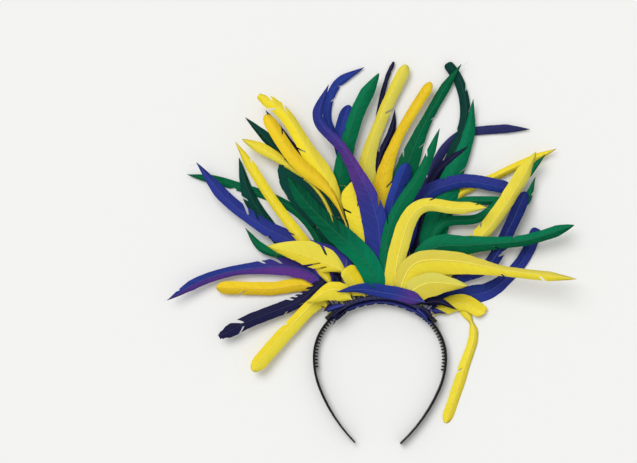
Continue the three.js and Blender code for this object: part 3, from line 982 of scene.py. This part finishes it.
    def ragged_edges(self, roots: np.ndarray) -> np.ndarray:
        """Draws how much of each row's two edges is cut away.

        Args:
            roots: Share of the length where each row starts.

        Returns:
            Shares of the half width, right and left.
        """
        noise = np.random.default_rng(self.seed)
        rough = noise.uniform(0, 1, (len(roots), 2))
        groups = (len(roots) - 1) // self.edge_rows + 2
        broad = noise.uniform(0, 1, (groups, 2)).repeat(self.edge_rows, axis=0)[: len(roots)]
        edge = self.edge_fine * rough + self.edge_broad * broad
        if self.row.tip is Tip.FRAY:
            edge += self.fray * rough * smoothstep(roots, self.fray_from, 1.0)[:, None]
        return edge

    def lay_rows(self) -> BarbRows:
        """Lays out the vane's rows of barbs and opens its splits.

        Returns:
            The rows.
        """
        length = self.line.length
        start = max(0.01, self.bare * 0.78)
        count = max(self.fewest_rows, int((1 - start) * length / self.row_pitch))
        roots = np.linspace(start, 1.0, count + 1)
        across = np.linspace(-1, 1, 2 * self.half_columns + 1)
        reach = np.abs(across)
        sweep = np.minimum(self.barb_sweep * self.width(roots) / 2 / length, self.sweep_most * (1 - roots))
        share = roots[:, None] + sweep[:, None] * reach[None, :] ** self.sweep_curve
        cuts = np.full((count, 2), 2.0)
        for split in self.splits():
            side = 1 if split.side > 0 else 0
            at = np.argmin(np.abs(share[:, -side] - split.share))
            at = int(np.clip(at, self.split_rows - 1, count - self.split_rows))
            begin = 1 - split.depth
            cuts[at, side] = begin
            opening = np.clip((reach - begin) / (1 - begin), 0, 1) * (np.sign(across) == split.side)
            for k in range(self.split_rows):
                push = split.gap / 2 / length * opening * (1 - k / self.split_rows)
                share[at - k] = share[at - k] - push
                share[at + 1 + k] = np.minimum(share[at + 1 + k] + push, 1.0)
        edge = self.ragged_edges(roots)
        trim = np.where(across[None, :] > 0, edge[:, 1:], edge[:, :1])
        return BarbRows(roots, share, np.broadcast_to(across, share.shape), trim, cuts)

    def clumps(self, rows: BarbRows) -> np.ndarray:
        """Gives the barbs between two splits one chance level.

        Args:
            rows: The vane's rows.

        Returns:
            Level of each point.
        """
        noise = np.random.default_rng(self.seed + 1)
        levels = np.zeros((len(rows.roots), 2))
        for side in (0, 1):
            level = 0.0
            for j in range(len(rows.roots)):
                levels[j, side] = level
                if j < len(rows.cuts) and rows.cuts[j, side] < 1:
                    level = noise.uniform(-self.clump_chance, self.clump_chance)
        return np.where(rows.across > 0, levels[:, 1:], levels[:, :1])

    @staticmethod
    def shell(rows: BarbRows) -> list[tuple[int, ...]]:
        """Closes the vane: faces above, open at the splits, the same below, and walls along the rim.

        Args:
            rows: The vane's rows.

        Returns:
            Faces over the upper points and the lower points after them.
        """
        lines, columns = rows.share.shape
        across = rows.across[0]
        reach = np.abs(across)
        top: list[tuple[int, ...]] = []
        for j in range(lines - 1):
            for c in range(columns - 1):
                side = 1 if across[c] >= 0 else 0
                if min(reach[c], reach[c + 1]) < rows.cuts[j, side] - 1e-6:
                    i = j * columns + c
                    top.append((i, i + columns, i + columns + 1, i + 1))
        edges = dict.fromkeys(edge for face in top for edge in zip(face, face[1:] + face[:1]))
        rim = [(a, b) for a, b in edges if (b, a) not in edges]
        below = lines * columns
        bottom = [tuple(i + below for i in reversed(face)) for face in top]
        return [*top, *bottom, *((b, a, a + below, b + below) for a, b in rim)]

    def mark_points(self, mesh: bpy.types.Mesh, rows: BarbRows, levels: np.ndarray, middle: np.ndarray) -> None:
        """Writes what the feather tree and the materials read at each point.

        Args:
            mesh: The vane with the quill's line.
            rows: The vane's rows.
            levels: Level of each point's clump.
            middle: Shares of the length along the quill's line.
        """
        share, across, dye_and_shade = rows.share, rows.across, self.dye_and_shade

        def spread(vane: np.ndarray, quill: np.ndarray) -> np.ndarray:
            """Values for the upper side, the lower side and the quill."""
            return np.concatenate([vane.ravel(), vane.ravel(), quill])

        # Painted shade of the two vane halves, blended over the rachis; on green_feather_04 the tip darkening
        # below is painted shadow.
        painted_halves = self.painted_half_shade * np.clip(across / self.painted_half_blend, -1, 1)
        darkness = self.tone + dye_and_shade.tone + dye_and_shade.tip_tone * smoothstep(share, 0.25, 0.6)
        tint = np.where(across > 0, dye_and_shade.left, dye_and_shade.right)
        tint = tint + (0.5 * (dye_and_shade.left + dye_and_shade.right) - tint) * np.exp(-((across / self.tint_blend) ** 2))
        tint = tint + dye_and_shade.strength * np.exp(-(((share - dye_and_shade.bloom) / self.bloom_spread) ** 2))
        none = np.zeros(len(middle))
        marks = {
            "along": spread(share, middle),
            "tone": spread(levels * self.clump_tone + painted_halves + darkness, none),
            "tint": spread(np.clip(tint, 0, 1), none),
            "is_quill": spread(np.zeros(share.shape, bool), np.ones(len(middle), bool)),
        }
        for name, values in marks.items():
            kind = "BOOLEAN" if values.dtype == bool else "FLOAT"
            mesh.attributes.new(name, kind, "POINT").data.foreach_set("value", values)
        u = spread(0.5 + 0.5 * across, none + 0.5)
        v = spread(np.repeat(rows.roots * self.line.length / 100, across.shape[1]), none)
        corner = np.empty(len(mesh.loops), dtype=np.int32)
        mesh.loops.foreach_get("vertex_index", corner)
        places = np.stack([u[corner], v[corner]], axis=1)
        mesh.uv_layers.new(name="barbs").data.foreach_set("uv", places.astype(np.float32).ravel())

    def vane_mesh(self) -> bpy.types.Mesh:
        """Makes the closed vane with its UV rows, and the loose middle line for the quill.

        Returns:
            A mesh with the attributes that the feather tree and the material read.
        """
        rows = self.lay_rows()
        levels = self.clumps(rows)
        reach = np.abs(rows.across)
        top = self.surface(rows.share, rows.across, rows.trim)
        top[..., 2] += self.clump_lift * np.maximum(0, levels) * reach**2
        bottom = top.copy()
        bottom[..., 2] -= self.vane_thick + (self.edge_thick - self.vane_thick) * reach
        middle = np.linspace(0.0, self.quill_end, max(12, int(self.line.length / self.quill_pitch)))
        quill = self.surface(middle, np.zeros_like(middle), np.zeros_like(middle))
        quill[:, 2] += self.quill_rise
        points = np.concatenate([top.reshape(-1, 3), bottom.reshape(-1, 3), quill])
        wires = [(i, i + 1) for i in range(2 * reach.size, len(points) - 1)]
        mesh = bpy.data.meshes.new(self.name)
        mesh.from_pydata(((points + self.shift) * MM).tolist(), wires, self.shell(rows))
        self.mark_points(mesh, rows, levels, middle)
        return mesh

    def build(self, tree: bpy.types.NodeTree, materials: FeatherMaterials) -> bpy.types.Object:
        """Makes the whole feather.

        Args:
            tree: The feather node tree.
            materials: Vane and quill materials.

        Returns:
            The finished piece.
        """
        piece = run_tree(self.name + "_dressed", self.vane_mesh(), tree, {
            "Quill Radius": self.quill_radius * MM,
            "Tip Radius": self.tip_radius * MM,
            "Barb Count": max(4, int(self.line.length / self.barb_pitch)),
            "Barb Length": self.barb_share * max(self.row.vane, self.row.blade) * MM,
            "Barb Radius": self.barb_radius * MM,
            "Seed": self.seed,
            "Vane Finish": materials.vanes[self.row.dye],
            "Quill Finish": materials.quills[self.row.dye],
        })
        piece.data.polygons.foreach_set("use_smooth", np.ones(len(piece.data.polygons), dtype=bool))
        piece.data.set_sharp_from_angle(angle=math.radians(self.crease))
        return piece


@dataclass
class FeatherFan:
    """All the feathers bound to the crown."""

    heap: Heap
    shift: np.ndarray
    materials: FeatherMaterials
    first_seed: int = 100

    def feathers(self) -> list[tuple[Feather, str]]:
        """Lists every feather with a slot name made from its colour.

        Returns:
            Feathers and slots.
        """
        rows = {
            f"{colour}_feather_{i + 1:02d}": row
            for colour, listed in (("yellow", YELLOW_ROWS), ("green", GREEN_ROWS), ("purple", PURPLE_ROWS))
            for i, row in enumerate(listed)}
        return [
            (Feather(name, row, self.heap, self.shift, self.first_seed + i), name.split("_")[0] + "_feather")
            for i, (name, row) in enumerate({**rows, **CROWN_ROWS}.items())]

    def build(self, tree: bpy.types.NodeTree) -> None:
        """Builds each feather in place of its solid.

        Args:
            tree: The feather node tree.
        """
        for feather, slot in self.feathers():
            piece = feather.build(tree, self.materials)
            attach(piece, "root")
            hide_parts(feather.name)
            LOG.info("%s: %d faces", piece.name, len(piece.data.polygons))


@dataclass
class Headband:
    """The toothed plastic band, kept as its solid."""

    node: str = "headband"
    black: Colour = (0.004, 0.0042, 0.0038)
    worn: Colour = (0.010, 0.0105, 0.0095)
    wear_scale: float = 90.0
    grain_scale: float = 1600.0

    def dress(self) -> None:
        """Gives the band a satin moulded plastic."""
        material, bench, shader = blank_material("black_moulded_plastic")
        place = bench.place()
        wear = bench.noise(place, self.wear_scale, detail=4.0)
        gloss = bench.add("ShaderNodeMapRange", {"Value": wear, "To Min": 0.26, "To Max": 0.44})
        grain = bench.noise(place, self.grain_scale)
        bench.feed(shader, {
            "Base Color": bench.blend(wear, self.black, self.worn),
            "Roughness": gloss.outputs[0],
            "Specular IOR Level": 0.16,
            "Normal": bench.bump(grain, strength=0.06, depth=0.0002),
        })
        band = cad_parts[self.node]
        band.data.materials.clear()
        band.data.materials.append(material)
        LOG.info("%s: dressed", self.node)


@dataclass
class Binding:
    """Wound tape that holds the quills on the crown's outer face, in millimetres and degrees."""

    heap: Heap
    shift: np.ndarray
    node: str = "binding"
    reach: float = 46.0
    end_inset: float = 2.6
    line_points: int = 60
    height: float = 18.45
    height_slack: float = 1.2
    turns: int = 26
    tape_width: float = 5.6
    tape_thick: float = 0.35
    corner_radius: float = 0.9
    corner_points: int = 4
    lean: float = 0.05
    seed: int = 7
    tuft_seed: int = 300
    dark: Colour = (0.012, 0.013, 0.06)
    pale: Colour = (0.03, 0.03, 0.13)
    black: Colour = (0.006, 0.006, 0.008)
    black_from: float = 42.0
    black_fade: float = 2.0

    def tree(self) -> bpy.types.NodeTree:
        """Makes the node tree that winds tape turns along an arc line.

        Returns:
            The geometry node tree.
        """
        bench, inlet, outlet = new_group("tape_turns", "GeometryNodeTree", {
            "Geometry": "Geometry", "Turns": "Int", "Depth": "Float", "Height": "Float", "Tape Width": "Float",
            "Tape Thickness": "Float", "Seed": "Int", "Finish": "Material"}, {"Geometry": "Geometry"})

        def rectangle(width: str, height: str) -> Socket:
            """A rectangle as wide and high as two of the inputs say."""
            inputs = {"Width": inlet[width], "Height": inlet[height]}
            node = bench.add("GeometryNodeCurvePrimitiveQuadrilateral", inputs, mode="RECTANGLE")
            return node.outputs["Curve"]

        line = bench.add("GeometryNodeMeshToCurve", {"Mesh": inlet["Geometry"]})
        spots = bench.points(line.outputs["Curve"], inlet["Turns"])
        loop = bench.add("GeometryNodeFilletCurve", {
            "Curve": rectangle("Depth", "Height"),
            "Count": self.corner_points,
            "Radius": self.corner_radius * MM,
        }, mode="POLY")
        turn = bench.add("GeometryNodeCurveToMesh", {
            "Curve": loop.outputs["Curve"], "Profile Curve": rectangle("Tape Thickness", "Tape Width")})
        stand = bench.add("GeometryNodeTransform", {
            "Rotation": (math.pi / 2, 0, 0), "Geometry": turn.outputs["Mesh"]})
        lean = bench.chance(-self.lean, self.lean, inlet["Seed"])
        angle = bench.math("ADD", bench.heading(spots["Tangent"]), math.pi / 2)
        wound = bench.add("GeometryNodeInstanceOnPoints", {
            "Points": spots["Points"],
            "Instance": stand.outputs["Geometry"],
            "Rotation": bench.vector(lean, 0.0, angle),
        })
        bench.feed(outlet, {0: bench.coat(bench.real(wound.outputs["Instances"]), inlet["Finish"])})
        return bench.tree

    def finish(self) -> bpy.types.Material:
        """Makes the woven purple tape, which ends in black.

        Returns:
            The material.
        """
        material, bench, shader = blank_material("purple_tape")
        place = bench.place()
        inputs = {"Vector": place, "Scale": 420.0, "Distortion": 1.5}
        weave = bench.add("ShaderNodeTexWave", inputs, wave_type="BANDS", bands_direction="Z").outputs["Fac"]
        aside = bench.math("SUBTRACT", bench.axes(place)[0], float(self.shift[0]) * MM)
        ends = bench.add("ShaderNodeMapRange", {
            "Value": bench.math("ABSOLUTE", aside),
            "From Min": self.black_from * MM,
            "From Max": (self.black_from + self.black_fade) * MM,
        })
        purple = bench.blend(weave, self.dark, self.pale)
        bench.feed(shader, {
            "Base Color": bench.blend(ends.outputs[0], purple, self.black),
            "Roughness": 0.75,
            "Normal": bench.bump(weave, strength=0.3, depth=0.0003),
        })
        return material

    def tufts(self, tree: bpy.types.NodeTree, materials: FeatherMaterials) -> list[bpy.types.Object]:
        """Makes the ragged tufts that hide the tape's ends.

        Args:
            tree: The feather node tree.
            materials: Vane and quill materials.

        Returns:
            The tufts.
        """
        made = []
        for i, row in enumerate(TUFT_ROWS):
            tuft = Feather(f"tape_end_tuft_{i + 1}", row, self.heap, self.shift, self.tuft_seed + i)
            made.append(tuft.build(tree, materials))
        return made

    def build(self, tree: bpy.types.NodeTree, materials: FeatherMaterials) -> None:
        """Winds the tape in place of the plain binding and lays tufts over its ends.

        Args:
            tree: The feather node tree.
            materials: Vane and quill materials.
        """
        middle = (self.heap.binding_inner + self.heap.binding_outer) / 2
        end = self.reach - self.end_inset
        angles = np.radians(np.linspace(-end, end, self.line_points))
        points = np.stack([
            self.heap.centre[0] + middle * np.sin(angles),
            self.heap.centre[1] + middle * np.cos(angles),
            np.full_like(angles, self.height / 2)], axis=1)
        wires = [(i, i + 1) for i in range(len(points) - 1)]
        mesh = bpy.data.meshes.new(self.node)
        mesh.from_pydata(((points + self.shift) * MM).tolist(), wires, [])
        depth = self.heap.binding_outer - self.heap.binding_inner - self.tape_thick
        piece = run_tree(self.node + "_dressed", mesh, self.tree(), {
            "Turns": self.turns,
            "Depth": depth * MM,
            "Height": (self.height - self.height_slack) * MM,
            "Tape Width": self.tape_width * MM,
            "Tape Thickness": self.tape_thick * MM,
            "Seed": self.seed,
            "Finish": self.finish(),
        })
        tufts = self.tufts(tree, materials)
        with bpy.context.temp_override(active_object=piece, selected_editable_objects=[piece, *tufts]):
            bpy.ops.object.join()
        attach(piece, "root")
        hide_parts(self.node)
        LOG.info("%s: %d faces", piece.name, len(piece.data.polygons))


@dataclass
class Studio:
    """Pale floor, soft light and a camera straight above."""

    shift: np.ndarray
    pixel: float = 0.94
    band_pixel: tuple[float, float] = (379.7, 357.4)
    roll: float = 1.5
    camera_height: float = 2200.0
    floor_size: float = 6.0
    floor_colour: Colour = (0.9, 0.9, 0.885)
    key_from: tuple[float, float, float] = (-0.42, 0.52, 1.05)
    key_spread: float = 36.0
    key_strength: float = 1.75
    fill_strength: float = 0.53
    sensor: float = 36.0
    view_depth: float = 20.0

    def floor(self) -> None:
        """Lays the floor under the headdress."""
        half = self.floor_size / 2
        mesh = bpy.data.meshes.new("floor")
        corners = [(-half, -half, 0), (half, -half, 0), (half, half, 0), (-half, half, 0)]
        mesh.from_pydata(corners, [], [(0, 1, 2, 3)])
        floor = bpy.data.objects.new("floor", mesh)
        bpy.context.scene.collection.objects.link(floor)
        material, bench, shader = blank_material("pale_floor")
        bench.feed(shader, {
            "Base Color": (*self.floor_colour, 1.0), "Roughness": 0.9, "Specular IOR Level": 0.1})
        mesh.materials.append(material)

    def lights(self) -> None:
        """Hangs a soft key light high on the upper left, and fills from all round."""
        key = bpy.data.lights.new("key", "SUN")
        key.energy = self.key_strength
        key.angle = math.radians(self.key_spread)
        lamp = bpy.data.objects.new("key", key)
        lamp.rotation_euler = (-Vector(self.key_from)).to_track_quat("-Z", "Y").to_euler()
        bpy.context.scene.collection.objects.link(lamp)
        world = bpy.data.worlds.new("studio")
        world.use_nodes = True
        back = world.node_tree.nodes["Background"]
        back.inputs["Color"].default_value = (1.0, 1.0, 0.99, 1.0)
        back.inputs["Strength"].default_value = self.fill_strength
        bpy.context.scene.world = world
        bpy.context.scene.view_settings.view_transform = "Standard"

    def camera(self) -> None:
        """Stands the camera over the middle of the picture."""
        across = (IMAGE_SIZE[0] / 2 - self.band_pixel[0]) * self.pixel
        up = (self.band_pixel[1] - IMAGE_SIZE[1] / 2) * self.pixel
        turn = math.radians(self.roll)
        x = across * math.cos(turn) - up * math.sin(turn)
        y = across * math.sin(turn) + up * math.cos(turn)
        lens = bpy.data.cameras.new("camera")
        lens.sensor_width = self.sensor
        lens.lens = self.sensor * self.camera_height / (IMAGE_SIZE[0] * self.pixel)
        lens.clip_end = self.view_depth
        camera = bpy.data.objects.new("camera", lens)
        camera.location = Vector((x + self.shift[0], y + self.shift[1], self.camera_height)) * MM
        camera.rotation_euler = (0, 0, turn)
        bpy.context.scene.collection.objects.link(camera)
        bpy.context.scene.camera = camera

    def set_up(self) -> None:
        """Sets up floor, lights and camera."""
        self.floor()
        self.lights()
        self.camera()


def band_shift(heap: Heap) -> np.ndarray:
    """Finds where the band's own frame lies in the object's frame.

    Args:
        heap: Sizes of the crown.

    Returns:
        The shift in millimetres.
    """
    low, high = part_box("headband")
    x = (low[0] + high[0]) / 2 / MM
    y = high[1] / MM - heap.crown_top - heap.band_thick / 2
    return np.array([x, y, low[2] / MM])


def main() -> None:
    """Builds the headdress piece by piece and sets the scene."""
    logging.basicConfig(level=logging.INFO, format="%(name)s %(message)s")
    heap = Heap()
    shift = band_shift(heap)
    Studio(shift).set_up()
    materials = FeatherMaterials(barb_pattern())
    materials.make()
    Headband().dress()
    tree = feather_tree()
    Binding(heap, shift).build(tree, materials)
    FeatherFan(heap, shift, materials).build(tree)


if __name__ == "__main__":
    main()
